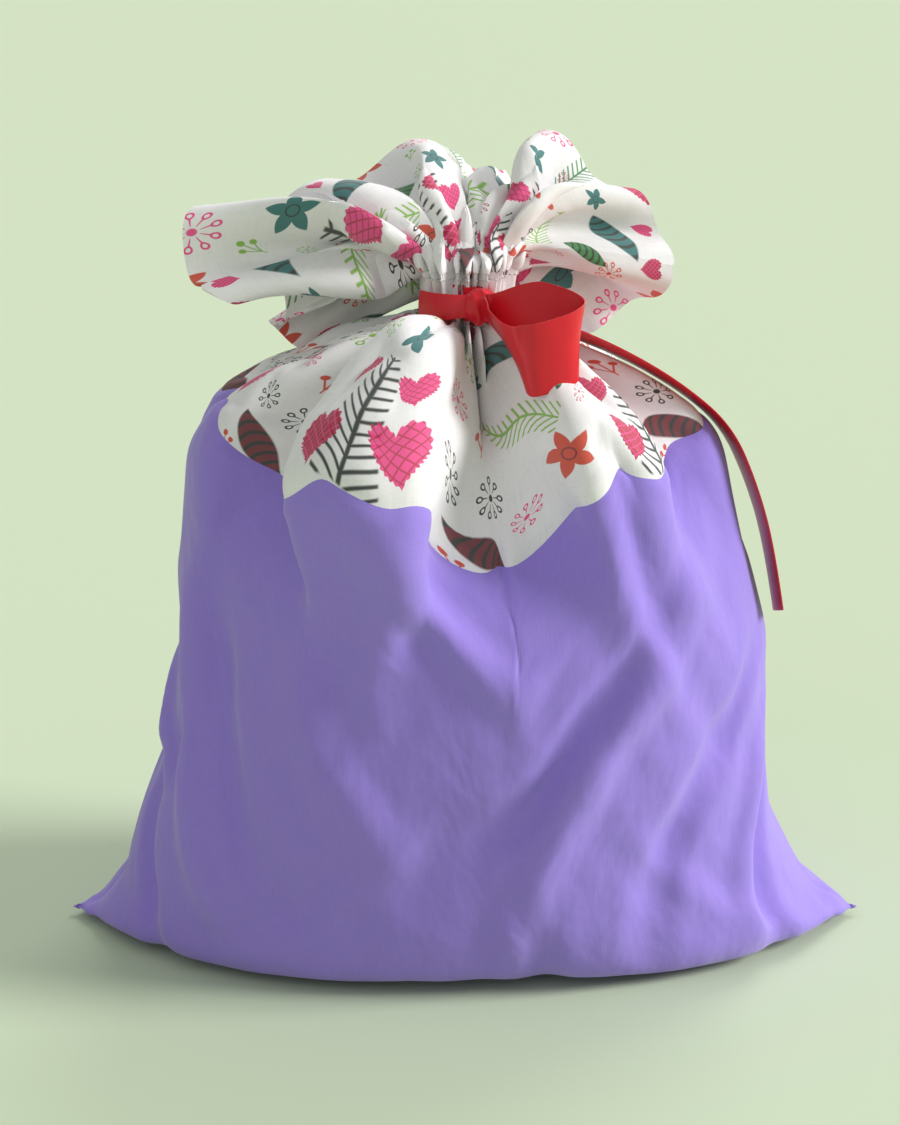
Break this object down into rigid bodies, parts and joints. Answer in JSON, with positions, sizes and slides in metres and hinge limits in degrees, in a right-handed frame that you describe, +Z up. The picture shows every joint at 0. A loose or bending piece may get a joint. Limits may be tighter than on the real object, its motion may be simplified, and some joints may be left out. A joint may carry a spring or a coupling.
{
  "type": "drawstring gift pouch",
  "caption": "Filled fabric gift pouch: plain lavender body, printed collar gathered by a red satin ribbon tied in a half bow, with an open ruffle above the neck.",
  "frame": {"origin": "on the floor under the middle of the pouch", "axes": "+Z up, the front with the bow faces -Y, +X to the right seen from the front, along the bottom seam"},
  "size_m": [0.3004, 0.175, 0.291],
  "materials": {
    "lavender_cotton": "matte woven cotton",
    "lining_cotton": "matte woven cotton",
    "printed_cotton": "matte woven cotton with a printed winter pattern",
    "seam_allowance": "matte woven cotton",
    "sewing_thread": "satin thread",
    "satin_ribbon": "satin"
  },
  "bodies": {
    "pouch": {"front_panel": "lavender_cotton", "back_panel": "lavender_cotton", "front_lining": "lining_cotton", "back_lining": "lining_cotton", "collar_front": "printed_cotton", "collar_back": "printed_cotton", "facing_front": "printed_cotton", "facing_back": "printed_cotton", "casing_front": "printed_cotton", "casing_back": "printed_cotton", "casing_facing_front": "printed_cotton", "casing_facing_back": "printed_cotton", "join_seam_front": "seam_allowance", "join_seam_back": "seam_allowance", "side_seam_left": "seam_allowance", "side_seam_right": "seam_allowance", "bottom_seam": "seam_allowance", "casing_stitch_upper": "sewing_thread", "casing_stitch_lower": "sewing_thread", "ribbon_run": "satin_ribbon", "ribbon_knot": "satin_ribbon"},
    "ruffle": {"ruffle_front": "printed_cotton", "ruffle_front_facing": "printed_cotton", "ruffle_back": "printed_cotton", "ruffle_back_facing": "printed_cotton"},
    "bow_loop": {"ribbon_loop": "satin_ribbon"},
    "tail_upper": {"ribbon_tail_upper": "satin_ribbon"},
    "tail_end": {"ribbon_tail_end": "satin_ribbon"}
  },
  "joints": [
    {"name": "ruffle_tilt", "type": "hinge", "parent": "pouch", "child": "ruffle", "pos_m": [0, 0, 0.2426], "axis": [1, 0, 0], "range_deg": [-20, 20]},
    {"name": "bow_loop_lift", "type": "hinge", "parent": "pouch", "child": "bow_loop", "pos_m": [0.0137, -0.02373, 0.231], "axis": [-0.866, -0.5, 0], "range_deg": [0, 30]},
    {"name": "tail_lift", "type": "hinge", "parent": "pouch", "child": "tail_upper", "pos_m": [0.015, -0.014, 0.23], "axis": [0, -1, 0], "range_deg": [0, 35]},
    {"name": "tail_end_swing", "type": "hinge", "parent": "tail_upper", "child": "tail_end", "pos_m": [0.091, -0.014, 0.1895], "axis": [0, -1, 0], "range_deg": [0, 80]}
  ]
}
